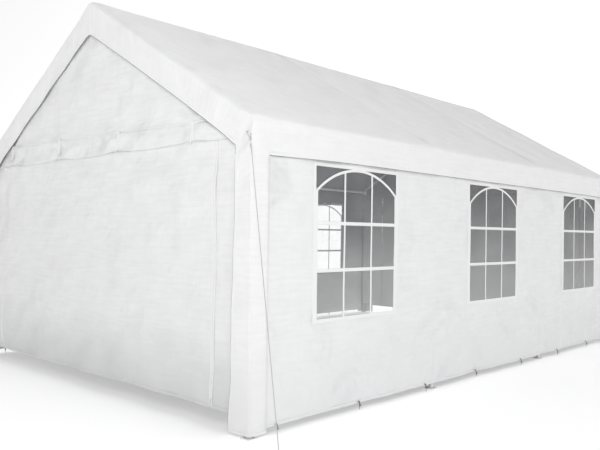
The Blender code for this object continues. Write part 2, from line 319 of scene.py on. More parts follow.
def ripples(u, v, seed, wavelength, height, crisp=False, lean=0.0):
    """The sum of nine plane waves with seeded directions, lengths and starts, over three.

    A crisp ripple takes the waves' absolute values, which folds them sharply at zero. Lean
    gathers the directions about the v axis, which draws the ripples out along u.
    """
    random = np.random.default_rng(seed)
    total = 0.0
    for _ in range(WAVES):
        bearing = random.uniform(0, math.pi)
        bearing += lean * (math.pi / 2 - bearing)
        length = wavelength * random.uniform(0.45, 1.0)
        phase = random.uniform(0, 2 * math.pi)
        along = u * math.cos(bearing) + v * math.sin(bearing)
        wave = np.sin(2 * math.pi * along / length + phase)
        total = total + (0.64 - np.abs(wave) if crisp else wave)
    return height * total / 3


def fan(u, v, at, folds, reach, height, turn=0.0):
    """Folds that fan out from a point: a cosine of the bearing, highest at the reach, then fading."""
    along, up = u - at[0], v - at[1]
    share = np.hypot(along, up) / reach
    return height * np.cos(folds * np.arctan2(up, along) + turn) * share * np.exp(1 - share)


def crest(value, centre, width):
    """One soft ridge across a value: one at its centre and nearly nothing a width away."""
    return np.exp(-((value - centre) / width) ** 2)


def between_frames(y):
    """Nothing at each frame and one in the middle of each bay, with a narrow flat at the tubes."""
    share = np.clip(y / BAY + 1.5, 0, 3) % 1.0
    arch = 4 * share * (1 - share)
    return arch ** 2 / (arch + 0.06)


print("ripple, fan and crest ready; mid-bay share", round(float(between_frames(0.0)), 3))

# %% [markdown]
# ## Finishes
#
# The sheets are white on white, so what shows is small: the streaks of the flat threads, the
# weave itself close by, soft crumples that never iron out, and a little grey near the ground,
# which is soil and, on the end walls, painted shade as well. Painted shade also darkens the
# linings towards the eaves.
# Each effect is a shader node group, placed in a material with its own values.

# %% Node helpers
def fill(tree, made, inputs):
    """Give a node's sockets their values, or a link where the value is another node's output."""
    for label, value in inputs.items():
        if isinstance(value, bpy.types.NodeSocket):
            tree.links.new(value, made.inputs[label])
        else:
            made.inputs[label].default_value = value


def node(tree, kind, inputs=None, **settings):
    made = tree.nodes.new("ShaderNode" + kind)
    for name, value in settings.items():
        setattr(made, name, value)
    fill(tree, made, inputs or {})
    return made


def maths(tree, operation, *values):
    """A Math node whose inputs are links or plain numbers."""
    return node(tree, "Math", dict(enumerate(values)), operation=operation).outputs[0]


def axes_of(tree, vector):
    return node(tree, "SeparateXYZ", {0: vector}).outputs


def object_place(tree):
    return node(tree, "TexCoord").outputs["Object"]


def noise(tree, vector, scale, detail=2.0, kind="FBM", stretch=None):
    """Noise over a vector, which may first be stretched by its own scale for each axis."""
    if stretch:
        vector = node(tree, "Mapping", {"Vector": vector, "Scale": stretch}).outputs["Vector"]
    inputs = {"Vector": vector, "Scale": scale, "Detail": detail}
    return node(tree, "TexNoise", inputs, noise_type=kind).outputs["Fac"]


def mix_colours(tree, mask, first, second):
    """A colour that goes from the first to the second as the mask goes from nothing to one."""
    first, second = (colour if isinstance(colour, bpy.types.NodeSocket) else (*colour, 1)
                     for colour in (first, second))
    mix_a, mix_b, mixed = 6, 7, 2
    made = node(tree, "Mix", {"Factor": mask, mix_a: first, mix_b: second}, data_type="RGBA")
    return made.outputs[mixed]


def spread(tree, value, low, high, start=0.3, stop=0.7, **settings):
    """A value spread between two limits as it runs from start to stop."""
    inputs = {"Value": value, "From Min": start, "From Max": stop, "To Min": low, "To Max": high}
    return node(tree, "MapRange", inputs, **settings).outputs["Result"]


def bumped(tree, *heights):
    """Bump nodes in a row, one for each height, with its strength and its depth in metres."""
    normal = {}
    for height, strength, depth in heights:
        inputs = {"Height": height, "Strength": strength, "Distance": depth, **normal}
        normal = {"Normal": node(tree, "Bump", inputs).outputs["Normal"]}
    return normal


def new_group(name, setting, default, *results):
    """A node group that takes a vector and one setting, and puts out one or two values."""
    group = bpy.data.node_groups.new(name, "ShaderNodeTree")
    add = group.interface.new_socket
    add(name="Vector", in_out="INPUT", socket_type="NodeSocketVector")
    add(name=setting, in_out="INPUT", socket_type="NodeSocketFloat").default_value = default
    for label in results:
        add(name=label, in_out="OUTPUT", socket_type="NodeSocketFloat")
    return group, group.nodes.new("NodeGroupInput").outputs, group.nodes.new("NodeGroupOutput")


# %% Shared effects
THREADS = 420.0


def weave_group():
    """Flat threads crossing: a sine each way makes the height, and long thin noise the streaks."""
    group, inputs, results = new_group("woven threads", "Threads per metre", THREADS,
                                       "Height", "Streaks")
    places = axes_of(group, inputs["Vector"])
    turns = maths(group, "MULTIPLY", inputs["Threads per metre"], 2 * math.pi)
    across, along = (maths(group, "SINE", maths(group, "MULTIPLY", places[axis], turns))
                     for axis in ("X", "Y"))
    total = 0.0
    for stretch, detail, weight in (((4, 46, 1), 4.0, 0.50), ((60, 5, 1), 3.0, 0.22),
                                    ((5, 7, 1), 4.0, 0.28)):
        part = noise(group, inputs["Vector"], 1.0, detail, stretch=stretch)
        total = maths(group, "ADD", total, maths(group, "MULTIPLY", part, weight))
    fill(group, results, {"Height": maths(group, "ADD", across, along), "Streaks": total})
    return group


def crumple_group():
    """Stiff sheet that was folded once: ridged noise at two sizes, over a broad soft swell."""
    group, inputs, results = new_group("crumpled sheet", "Scale", 3.0, "Height")
    vector, scale = inputs["Vector"], inputs["Scale"]
    wide = noise(group, vector, scale, 2.0, "RIDGED_MULTIFRACTAL")
    fine = noise(group, vector, maths(group, "MULTIPLY", scale, 3.7), 2.0, "RIDGED_MULTIFRACTAL")
    swell = noise(group, vector, scale, 1.0)
    ridges = maths(group, "ADD", wide, maths(group, "MULTIPLY", fine, 0.22))
    total = maths(group, "ADD", ridges, maths(group, "MULTIPLY", swell, 1.4))
    fill(group, results, {"Height": total})
    return group


def soil_and_shade_group():
    """A mask of soil and painted shade: one at the ground, fading upwards, broken up by noise."""
    group, inputs, results = new_group("ground soil", "Height of soil", 0.5, "Mask")
    share = maths(group, "DIVIDE", axes_of(group, inputs["Vector"])["Z"], inputs["Height of soil"])
    patches = maths(group, "MULTIPLY", noise(group, inputs["Vector"], 2.3, 3.0), 0.7)
    fade = maths(group, "SUBTRACT", maths(group, "ADD", 0.75, patches), share)
    fill(group, results, {"Mask": node(group, "Clamp", {"Value": fade}).outputs[0]})
    return group


WEAVE, CRUMPLE, SOIL_AND_SHADE = weave_group(), crumple_group(), soil_and_shade_group()
print("effects:", ", ".join(group.name for group in bpy.data.node_groups))


# %% Sheet, film, cord and hard materials
def new_material(name):
    material = bpy.data.materials.new(name)
    material.use_nodes = True
    tree = material.node_tree
    return material, tree, tree.nodes["Principled BSDF"]


def scaled(colour, share):
    return tuple(channel * share for channel in colour)


def sheet_material(name, light, shade, crumple, crumple_depth, soil_and_shade, threads=THREADS, top=None,
                   indoor_y=HALF_LENGTH - 0.010):
    """White woven sheet: streaked between two near whites, greyer near the ground, crumpled.

    A sheet with a top colour fades into it between sill height and the eaves. That colour is
    painted shade, darker where less light reaches the inner faces. It goes no further than the
    indoor distance along the tent, because the flaps hang outside the end walls.
    """
    material, tree, shader = new_material(name)
    cloth, place = node(tree, "UVMap", uv_map="cloth").outputs["UV"], object_place(tree)
    weave = node(tree, "Group", {"Vector": cloth, "Threads per metre": threads},
                 node_tree=WEAVE).outputs
    crumpled = node(tree, "Group", {"Vector": cloth, "Scale": crumple}, node_tree=CRUMPLE)
    soiled_and_shaded = node(tree, "Group", {"Vector": place, "Height of soil": 0.55}, node_tree=SOIL_AND_SHADE)
    colour = mix_colours(tree, spread(tree, weave["Streaks"], 0, 1), shade, light)
    # Painted shade: the top colour darkens the inner faces towards the eaves, indoors only.
    if top is not None:
        places = axes_of(tree, place)
        indoors = maths(tree, "LESS_THAN", maths(tree, "ABSOLUTE", places["Y"]), indoor_y)
        shaded = maths(tree, "MULTIPLY", spread(tree, places["Z"], 0, 1, 0.7, 1.9), indoors)
        colour = mix_colours(tree, shaded, colour, top)
    # The ground mask greys the sheet towards the ground: soil, and on the end walls painted shade too.
    fill(tree, shader, {
        "Base Color": mix_colours(tree, soiled_and_shaded.outputs["Mask"], colour, scaled(shade, 1 - soil_and_shade)),
        "Roughness": spread(tree, weave["Streaks"], 0.52, 0.66), "Specular IOR Level": 0.35,
        **bumped(tree, (crumpled.outputs["Height"], 0.9, crumple_depth),
                 (weave["Streaks"], 0.9, 0.0012), (weave["Height"], 0.25, 0.00012))})
    return material


def film_material():
    """Clear soft film: a thin grey haze with a low gloss, a little cloudier in patches."""
    material, tree, shader = new_material("clear_film")
    place = object_place(tree)
    cloud = noise(tree, place, 3.1)
    fill(tree, shader, {
        "Alpha": spread(tree, cloud, 0.08, 0.13), "Roughness": spread(tree, cloud, 0.07, 0.16),
        "Base Color": mix_colours(tree, cloud, (0.72, 0.74, 0.76), (0.78, 0.79, 0.80)),
        **bumped(tree, (noise(tree, place, 5.0, 1.0), 0.4, 0.002))})
    return material


def cord_material(name, light, dark, turns):
    """Twisted cord: a sine of length plus turn makes the strands, light on top and dark between.

    The dark between the strands is painted shade in the grooves.
    """
    material, tree, shader = new_material(name)
    places = axes_of(tree, node(tree, "UVMap", uv_map="cloth").outputs["UV"])
    length, round_it = (maths(tree, "MULTIPLY", places[axis], turns) for axis in ("X", "Y"))
    strands = maths(tree, "SINE", maths(tree, "ADD", length, round_it))
    # Painted shade: the mask darkens the grooves between the strands.
    mask = maths(tree, "MULTIPLY_ADD", strands, 0.5, 0.5)
    fill(tree, shader, {"Base Color": mix_colours(tree, mask, dark, light), "Roughness": 0.8,
                        **bumped(tree, (strands, 0.6, 0.0004))})
    return material


def hard_material(name, dark, light, scale, detail, gloss, dull, peel=None, stretch=None,
                  metallic=0.0):
    """Coat, plastic or bare metal: noise varies colour and gloss, and fine noise is the peel."""
    material, tree, shader = new_material(name)
    place = object_place(tree)
    patches = noise(tree, place, scale, detail, stretch=stretch)
    inputs = {"Base Color": mix_colours(tree, patches, dark, light), "Metallic": metallic,
              "Roughness": spread(tree, patches, gloss, dull)}
    if peel:
        peel_scale, peel_detail, strength = peel
        inputs |= bumped(tree, (noise(tree, place, peel_scale, peel_detail), strength, 0.0001))
    fill(tree, shader, inputs)
    return material


def grey(value, blue=0.0):
    return value, value, value + blue


COVER = sheet_material("cover_sheet", grey(0.955), grey(0.87, 0.005), 2.2, 0.034, 0.04)
WALL = sheet_material("wall_sheet", grey(0.925), (0.83, 0.835, 0.84), 2.9, 0.056, 0.01)
# The end wall's larger ground share is painted shade near the ground as well as soil.
END_WALL = sheet_material("end_wall_sheet", grey(0.925), (0.83, 0.835, 0.84), 2.9, 0.036, 0.20)
# The linings' top colours are painted shade, near black towards the eaves inside the tent.
ROOF_LINING = sheet_material("cover_inside_painted_shade", grey(0.92), grey(0.88), 2.4, 0.01, 0.05,
                             top=grey(0.14, 0.005), indoor_y=END_Y + 0.004)
WALL_LINING = sheet_material("wall_inside_painted_shade", grey(0.95), grey(0.90), 2.4, 0.01, 0.02,
                             top=grey(0.11, 0.005))
TAPE = sheet_material("hem_tape", grey(0.93), grey(0.90), 6.0, 0.001, 0.05, 700.0)
# The grey piping is painted shadow: it draws the thin shadow lines under the flap edges and valance
# hems.
SHADOW_PIPING = sheet_material("painted_shadow_piping", grey(0.34, 0.01), grey(0.26, 0.01), 6.0, 0.001, 0.05, 700.0)
FILM = film_material()
ROPE = cord_material("guy_cord", grey(0.70), grey(0.44), 520.0)
ELASTIC = cord_material("elastic_cord", grey(0.16, 0.005), grey(0.07, 0.005), 900.0)
METAL, MOULDED, DARK = (0.72, 0.73, 0.74), grey(0.82), grey(0.16, 0.01)
COAT = hard_material("powder_coat", (0.78, 0.79, 0.80), (0.84, 0.845, 0.85), 6.0, 3.0, 0.28, 0.42,
                     (650.0, 1.0, 0.3))
ZINC = hard_material("zinc_plate", scaled(METAL, 0.85), METAL, 1.0, 4.0, 0.28, 0.46,
                     stretch=(60, 60, 900), metallic=1.0)
PLASTIC = hard_material("white_plastic", scaled(MOULDED, 0.9), MOULDED, 400.0, 2.0, 0.37, 0.50,
                        (400.0, 2.0, 0.2))
DARK_PLASTIC = hard_material("dark_plastic", scaled(DARK, 0.9), DARK, 400.0, 2.0, 0.45, 0.58,
                             (400.0, 2.0, 0.2))
print("materials:", len(bpy.data.materials))

# %% [markdown]
# ## Studio
#
# A soft white studio makes a white tent readable only if its sides differ. The surroundings are
# brightest behind the tent, where a studio has its lit backdrop, dimmer in front of the end wall
# and dimmer still overhead, so that the roof reads darker than the long wall. One large soft
# light near the camera lifts the near corner. The floor glows a little, as lit paper does.

# %% Studio light and floor
HORIZON, ZENITH, BACKDROP = 0.862, 0.57, 0.47
FLOOR_GLOW, FLOOR_SWEEP = 0.33, 0.62
FLOOR_REACH, FLOOR_DROP = 120.0, -0.0006


def studio_world():
    """A background whose strength is the horizon's, plus the backdrop's share times the
    direction's Y, less the fall to the zenith times its Z."""
    world = bpy.data.worlds.new("studio")
    bpy.context.scene.world = world
    world.use_nodes = True
    tree = world.node_tree
    places = axes_of(tree, node(tree, "TexCoord").outputs["Generated"])
    lit = maths(tree, "ADD", maths(tree, "MULTIPLY", places["Y"], BACKDROP), HORIZON)
    overhead = maths(tree, "MULTIPLY", places["Z"], HORIZON - ZENITH)
    fill(tree, tree.nodes["Background"],
         {"Color": (1, 1, 1, 1), "Strength": maths(tree, "SUBTRACT", lit, overhead)})


def soft_light(name, place, target, size, power):
    """A square area light that faces its target."""
    data = bpy.data.lights.new(name, "AREA")
    data.shape, data.size, data.energy = "SQUARE", size, power
    facing = (Vector(target) - Vector(place)).to_track_quat("-Z", "Y")
    add_object(name, data, Matrix.Translation(place) @ facing.to_matrix().to_4x4())


def studio_floor():
    """A wide pale floor just under the feet, which glows more beyond the tent, left of it."""
    mesh = bpy.data.meshes.new("floor")
    mesh.from_pydata([(x * FLOOR_REACH, y * FLOOR_REACH, FLOOR_DROP)
                      for x, y in ((-1, -1), (1, -1), (1, 1), (-1, 1))], [], [[0, 1, 2, 3]])
    material, tree, shader = new_material("studio_floor")
    away = node(tree, "VectorMath", {0: object_place(tree), 1: (-0.8, 0.6, 0.0)},
                operation="DOT_PRODUCT").outputs["Value"]
    glow = spread(tree, away, FLOOR_GLOW, FLOOR_SWEEP, 0.0, 12.0, interpolation_type="SMOOTHSTEP")
    fill(tree, shader, {"Base Color": (0.88, 0.88, 0.88, 1), "Roughness": 0.9,
                        "Specular IOR Level": 0.1, "Emission Color": (1, 1, 1, 1),
                        "Emission Strength": glow})
    mesh.materials.append(material)
    add_object("floor", mesh)


bpy.context.scene.view_settings.view_transform = "Standard"
studio_world()
soft_light("key", (4.5, -6.8, 4.0), (1.5, -2.6, 1.6), 2.2, 90)
soft_light("fill", (-1.5, -9.5, 3.0), (0.0, -3.0, 1.5), 3.0, 36)
studio_floor()
print("studio: horizon", HORIZON, "zenith", ZENITH)

# %% [markdown]
# ## The cover
#
# The roof, its two valances and the flap with sleeves at each end are one sewn cover, made as
# one surface. Its rows follow the outline of the tent from one sleeve hem, up over the ridge
# and down to the other. Its columns run along the tent, turn through a quarter circle at each
# verge and end at the inner hem of the flap.

# %% Rows of the cover
VERGE_REACH = 0.055
VERGE_DEPTH, CORNER_DEPTH = 0.040, 0.022
EAVE_RADIUS, EAVE_PROUD = 0.042, 0.012
RIDGE_RADIUS, RIDGE_PROUD = 0.120, 0.020
CELL = 0.034
BAND = 0.238
CROWN, CROWN_DIP, CORNER_DIP = 0.026, 0.012, 0.018
CORNER_X = 1.40
SLEEVE_INNER, SLEEVE_FLARE = HALF_WIDTH - 0.165, 0.022
NARROW = 1.2
HAIR = 0.0001


def rounded_path(corners, radii, step):
    """A polyline whose inner corners are arcs that touch both legs, with points a step apart.

    The arc's ends lie radius times the tangent of half the turn from the corner, and its middle
    lies on the line that halves the corner.
    """
    corners = np.array(corners, float)
    pieces, start = [], corners[0]
    for before, corner, after, radius in zip(corners, corners[1:], corners[2:], radii):
        into, away = unit(corner - before), unit(after - corner)
        half = math.acos(float(np.clip(into @ away, -1, 1))) / 2
        centre = corner + unit(away - into) * radius / math.cos(half)
        first = corner - into * radius * math.tan(half)
        count = max(2, round(np.linalg.norm(first - start) / step))
        pieces.append(np.linspace(start, first, count + 1)[:-1])
        angle = np.linspace(-half, half, 9)[:, None]
        pieces.append((centre - unit(away - into) * radius * np.cos(angle)
                       + unit(into + away) * radius * np.sin(angle))[:-1])
        start = corner + away * radius * math.tan(half)
    count = max(2, round(np.linalg.norm(corners[-1] - start) / step))
    return np.concatenate(pieces + [np.linspace(start, corners[-1], count + 1)])


def cover_rows():
    """The outline's points with their outward normals and the flap's inner edge for each.

    Low down, the inner edge lies level with the outline. Near the eave it is drawn together
    towards the inner corner, so that the grid turns the corner without folding over.
    """
    eave, ridge = EAVE_Z + EAVE_PROUD, RIDGE_Z + RIDGE_PROUD
    over = rounded_path(
        [(HALF_WIDTH, VALANCE_Z), (HALF_WIDTH, eave), (0, ridge), (-HALF_WIDTH, eave),
         (-HALF_WIDTH, VALANCE_Z)], [EAVE_RADIUS, RIDGE_RADIUS, EAVE_RADIUS], CELL)
    heights = spaced([SLEEVE_Z, VALANCE_Z], CELL)[:-1]
    right = together(HALF_WIDTH, heights)
    outline = np.concatenate([right, over, right[::-1] * [-1, 1]])
    along = unit(np.gradient(outline, axis=0))
    across, height = np.abs(outline[:, 0]), outline[:, 1]
    corner_z = RIDGE_Z - BAND - SLOPE * SLEEVE_INNER - CORNER_DIP
    low = corner_z - 0.4
    drawn_z = np.where(height < low, height,
                       low + (height - low) * (corner_z - low) / (EAVE_Z - low))
    drawn_x = np.where(across < NARROW, across, NARROW + (across - NARROW)
                       * (SLEEVE_INNER - NARROW) / (HALF_WIDTH - NARROW))
    line_z = RIDGE_Z - BAND - SLOPE * np.hypot(drawn_x, CROWN) - CROWN_DIP * crest(drawn_x, 0, 0.45)
    line_z = line_z - CORNER_DIP * ramp((drawn_x - CORNER_X) / (SLEEVE_INNER - CORNER_X)) ** 1.5
    sleeve_x = SLEEVE_INNER - SLEEVE_FLARE * ramp(1 - height / 1.4)
    upright = height < EAVE_Z
    inner = together(np.where(upright, sleeve_x, drawn_x) * np.sign(outline[:, 0]),
                     np.where(upright, drawn_z, line_z))
    rise = ramp((height - VALANCE_Z) / (EAVE_Z - VALANCE_Z))
    depth = CORNER_DEPTH + (VERGE_DEPTH - CORNER_DEPTH) * rise ** 2
    depth = depth * (1 - 0.5 * crest(across, 0, 0.12) - 0.68 * crest(height, EAVE_Z, 0.05))
    return {"outline": outline, "normal": together(along[:, 1], -along[:, 0]), "inner": inner,
            "depth": depth, "inward": unit(inner - outline), "length": path_length(outline)}


ROWS = cover_rows()
ALL_ROWS = np.arange(len(ROWS["depth"]))
ON_ROOF = ROWS["outline"][:, 1] >= VALANCE_Z - HAIR
OVER = np.flatnonzero(ON_ROOF)
VALANCE_ROWS = ((OVER[0], 1), (OVER[-1], -1))
print("cover rows:", len(ALL_ROWS), "of which over the roof:", len(OVER))


# %% The long wall's shape
def wall_out(y, z):
    """How far the wall stands off its plane: in between the posts, ruffled towards the hem."""
    out = -0.010 * between_frames(y) * np.sin(math.pi * ramp(z / WALL_TOP_Z)) ** 0.8
    out = out + ripples(y, z, 31, 1.1, 0.0055) + ripples(y, z, 32, 0.42, 0.0040, crisp=True)
    out = out + ramp(1 - z / 0.5) ** 1.5 * ripples(y, z, 33, 0.55, 0.0080, lean=-0.75)
    fold = SILL_Z - 0.06 + ripples(y, 0.0, 34, 1.5, 0.008)
    out = out + 0.0034 * crest(z, fold, 0.014) - 0.0020 * crest(z, fold - 0.03, 0.02)
    for number, centre in enumerate(WINDOW_Y.values()):
        for side in (-1, 1):
            corner = (centre + side * WINDOW_HALF, SILL_Z)
            out = out + fan(y, z, corner, 7, 0.22, 0.0030, number + side)
    for frame_y in FRAME_Y[1:3]:
        out = out + 0.0100 * crest(y, frame_y, 0.016) * np.clip(0.9 - z, 0, 0.5)
    calm = ramp((WALL_END_Y - np.abs(y)) / 0.30)
    for centre in WINDOW_Y.values():
        inside = np.maximum((np.abs(y - centre) - WINDOW_HALF) / 0.08,
                            np.maximum(SILL_Z - z, z - HEAD_Z) / 0.08)
        calm = calm * (1 - 0.75 * ramp(1 - inside))
    behind = ramp((z - 1.58) / 0.11)
    return np.clip(out * calm, -0.0030 - 0.05 * between_frames(y), 0.012 * (1 - behind))


# %% The cover's surface
ROOF_SAG, RIDGE_SAG = 0.030, 0.002
RETURN_LIFT, PRESS_WIDTH, PRESS_HEIGHT = 0.0024, 0.06, 0.05
HEM_DIP = 0.014


def hang_share(z):
    """How far down the valance a height lies: nothing at the eave and one at its hem."""
    return ramp((EAVE_Z - z) / (EAVE_Z - VALANCE_Z)) * (z >= VALANCE_Z - HAIR)


def roof_drop(x, y, z):
    """How far the cover lies inside its outline: deepest mid-slope in the middle of each bay.

    Along the slope the depth is an arch from eave to ridge. Small folds fan out from where the
    rafters meet the eaves, and the valance's hem stands off the wall.
    """
    share = ramp((z - EAVE_Z) / (RIDGE_Z - EAVE_Z))
    arch = (4 * share * (1 - share)) ** 0.75
    bays = between_frames(y)
    drop = ROOF_SAG * bays * arch + RIDGE_SAG * bays * share
    slope = np.hypot(HALF_WIDTH - np.abs(x), z - EAVE_Z) * np.sign(z - EAVE_Z)
    for number, frame_y in enumerate(FRAME_Y):
        drop = drop + fan(y, slope, (frame_y, 0.03), 9, 0.30, 0.0030, number) * (share > 0)
        drop = drop + fan(y, slope, (frame_y, 2.2), 7, 0.25, 0.0024, number) * (share > 0)
    drop = drop + ripples(y, slope, 11, 1.3, 0.0040) * arch
    crisp = ripples(y, slope, 12, 0.5, 0.0026, crisp=True) * ramp(share * 8)
    drop = drop + crisp * (0.3 + 0.7 * bays)
    hang = hang_share(z)
    loose = ramp((RETURN_Y - np.abs(y)) / 0.25)
    flutter = 0.0055 + 0.0028 * np.sin(2 * math.pi * y / 0.62) + ripples(y, 0.0, 13, 0.9, 0.0018)
    drop = drop - flutter * loose * hang ** 1.4 + ripples(y, z, 14, 0.6, 0.0014) * (hang > 0)
    at_return = ramp(1 - np.abs(np.abs(y) - RETURN_Y) / PRESS_WIDTH)
    pressed = ramp((VALANCE_Z + PRESS_HEIGHT - z) / PRESS_HEIGHT)
    onto_wall = HALF_WIDTH - WALL_X - wall_out(y, z) - RETURN_LIFT
    return drop + onto_wall * at_return * pressed


def valance_dip(y, z):
    """How much lower the valance's hem hangs close to the sleeves, where the sheet is doubled."""
    beside = np.abs(y) - RETURN_Y
    near = ramp(1 + beside / 0.8) * ramp(1 - beside / PRESS_WIDTH)
    return HEM_DIP * near ** 1.3 * hang_share(z) ** 2


def flap_lift(x, z, reach, end):
    """How far a flap's face stands off its plane: soft ripples, which grow towards the sleeve
    hems, folds at the corners, and a lean of the inner edge with the square of the reach."""
    lift = ripples(x + 3 * end, z, 21, 0.7, 0.0030) + ripples(x, z + end, 22, 0.3, 0.0013, True)
    rise = ramp((z - EAVE_Z) / (RIDGE_Z - EAVE_Z))
    lift = lift + (0.006 * rise - 0.002) * reach ** 2
    for side in SIDES.values():
        lift = lift + fan(x, z, (side * (HALF_WIDTH - 0.03), EAVE_Z - 0.12), 8, 0.16, 0.0022, end)
        lift = lift + fan(x, z, (side * SLEEVE_INNER, 1.74), 6, 0.14, 0.0018, end)
    lift = lift + ramp(1 - z / 1.5) * ripples(x, z + 2 * end, 23, 0.45, 0.0045, lean=-0.6)
    return np.maximum(lift, -0.0018 - 0.05 * ramp(reach - 0.30))


def cover_points(rows, turn, reach, y):
    """Points of the cover for some rows and, as arrays of one length, a set of columns.

    Turn is the angle round the verge. The outline is first moved inwards by the row's depth
    times one less the cosine, and along the tent by the verge's reach times the sine. Reach then
    goes from the end of that arc to the flap's inner edge. The drop is along the normal.
    """
    outline, normal, inner, inward = (ROWS[name][rows][:, None]
                                      for name in ("outline", "normal", "inner", "inward"))
    turn, reach, y = turn[None, :, None], reach[None, :, None], y[None, :, None]
    start = outline + inward * ROWS["depth"][rows][:, None, None] * (1 - np.cos(turn))
    flat = start + reach * (inner - start)
    x, z = flat[..., :1], flat[..., 1:]
    far = y + np.sign(y) * VERGE_REACH * np.sin(turn)
    end = np.sign(far)
    side_out = np.cos(turn) * -roof_drop(outline[..., :1], y, outline[..., 1:])
    z = z - valance_dip(y, outline[..., 1:])
    end_out = np.sin(turn) * flap_lift(x, z, reach, end)
    return np.concatenate([x + normal[..., :1] * side_out, far + end * end_out,
                           z + normal[..., 1:] * side_out], axis=-1)


def cover_uv(turn, reach, y):
    """Metres along the rows, and metres along the tent and on round the verge."""
    band = np.linalg.norm(ROWS["inner"] - ROWS["outline"], axis=1)[:, None]
    across = y + np.sign(y) * VERGE_REACH * turn + np.sign(y) * reach * band
    return together(across, ROWS["length"][:, None])


# %% One sheet for roof, valances, flaps and sleeves
ROOF_END_Y = HALF_LENGTH - VERGE_REACH
VERGE_CELLS, BAND_CELLS = 10, 9


def flap_columns(end):
    """From the inner hem out to the verge, round it, and back along the tent to the return."""
    reach = np.linspace(1, 0, BAND_CELLS + 1)
    turn = np.linspace(math.pi / 2, 0, VERGE_CELLS + 1)[1:]
    back = spaced([ROOF_END_Y, RETURN_Y], CELL)[1:]
    turns = np.concatenate([np.full(len(reach), math.pi / 2), turn, 0 * back])
    y = np.concatenate([np.full(len(reach) + len(turn), ROOF_END_Y), back])
    return turns, np.concatenate([reach, 0 * turn, 0 * back]), end * y


def make_cover():
    """The cover; below the valances only the sleeves and their returns are kept."""
    y = spaced([-RETURN_Y, *FRAME_Y[1:3], RETURN_Y], CELL)[1:-1]
    columns = tuple(np.concatenate([near, roof, far[::-1]]) for near, roof, far
                    in zip(flap_columns(-1), (0 * y, 0 * y, y), flap_columns(1)))
    over_roof = ON_ROOF[:-1] & ON_ROOF[1:]
    on_sleeve = np.minimum(np.abs(columns[2][:-1]), np.abs(columns[2][1:])) > RETURN_Y - 0.001
    piece = sheet_piece("cover_sheet", cover_points(ALL_ROWS, *columns), cover_uv(*columns), COVER,
                        (0, 0, 1), over_roof[:, None] | on_sleeve[None, :], lining=ROOF_LINING)
    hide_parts("roof_cover", "front_gable_flap", "rear_gable_flap")


make_cover()

# %% [markdown]
# ## Hems and seam tapes
#
# A hem is the sheet turned over and stitched: a strip a little thicker than the sheet, astride
# its edge. Each strip follows the same surface as the sheet below it.

# %% Hems and tapes of the cover
HEM, HEM_THICK = 0.018, 0.0014
VALANCE_Y = spaced([-RETURN_Y, RETURN_Y], CELL)


def hem_strip(path, up, out, thick=HEM_THICK):
    return strip(path, up, out, HEM, thick, sunk=HEM_THICK)


def down_column(rows, turn, reach, y):
    """The cover's points down one column."""
    return cover_points(rows, *(np.array([value]) for value in (turn, reach, y)))[:, 0]


def as_3d(flat):
    """Directions in the XZ plane as directions in space."""
    return together(flat[:, 0], 0, flat[:, 1])


def low_hem(row, side, columns, out):
    """The hem along a row, which lies on the sheet between that row and the next."""
    path, above = cover_points(np.array([row, row + side]), *columns)
    up = unit(above - path)
    return hem_strip(path + up * HEM / 2, up, out)


def flap_hems(end):
    """A flap's inner hem, the hems under its sleeves, and the tape over its middle seam."""
    inward = as_3d(ROWS["inward"])
    edge = down_column(ALL_ROWS, math.pi / 2, 1.0, end * ROOF_END_Y) - inward * HEM / 2
    shapes = [hem_strip(edge, inward, (0, end, 0))]
    columns = flap_columns(end)
    turn = columns[0]
    for row, side in ((0, 1), (ALL_ROWS[-1], -1)):
        out = together(side * np.cos(turn), end * np.sin(turn), 0)
        shapes.append(low_hem(row, side, columns, out))
    columns = [values[:BAND_CELLS + VERGE_CELLS + 1] for values in columns]
    turn = columns[0]
    path = cover_points(np.array([len(ALL_ROWS) // 2]), *columns)[0]
    out = together(0, end * np.sin(turn), np.cos(turn))
    return shapes + [strip(path, (1, 0, 0), out, 0.030, 0.0010, sunk=0.0005)]


def cover_tapes():
    """Tapes over the rafters, and all hems of the cover."""
    normal = as_3d(ROWS["normal"][OVER])
    shapes = [strip(down_column(OVER, 0.0, 0.0, y), (0, 1, 0), normal, 0.040, 0.0006, sunk=0.0005)
              for y in FRAME_Y[1:3]]
    for end in ENDS.values():
        shapes += flap_hems(end)
    columns = (0 * VALANCE_Y, 0 * VALANCE_Y, VALANCE_Y)
    return shapes + [low_hem(row, side, columns, (side, 0, 0)) for row, side in VALANCE_ROWS]


def cover_shadow_piping():
    """Thin grey piping as painted shadow lines along the flaps' inner edges and the valances' hems."""
    height, inward = ROWS["inner"][:, 1], as_3d(ROWS["inward"])
    shapes = []
    for end in ENDS.values():
        edge = down_column(ALL_ROWS, math.pi / 2, 1.0, end * ROOF_END_Y)
        for part, width in ((height > 1.70, 0.0042), (height <= 1.70, 0.0024)):
            for side in SIDES.values():
                chosen = np.flatnonzero(part & (side * ROWS["outline"][:, 0] > -0.001))
                shapes.append(strip(edge[chosen] + inward[chosen] * width * 0.4, inward[chosen],
                                    (0, end, 0), width, 0.0016, sunk=0.0018))
    y = spaced([-RETURN_Y - 0.004, RETURN_Y + 0.004], CELL)
    for row, side in VALANCE_ROWS:
        path = cover_points(np.array([row]), 0 * y, 0 * y, y)[0] - [0, 0, 0.001]
        shapes.append(strip(path, (0, 0, 1), (side, 0, 0), 0.0040, 0.0018, sunk=0.0020))
    return shapes


joined_piece("cover_hems", cover_tapes(), TAPE)
# Painted shadow: grey piping where the flaps and valances cast thin shadow lines.
joined_piece("cover_shadow_piping", cover_shadow_piping(), SHADOW_PIPING)
print("cover hems and piping sewn on")

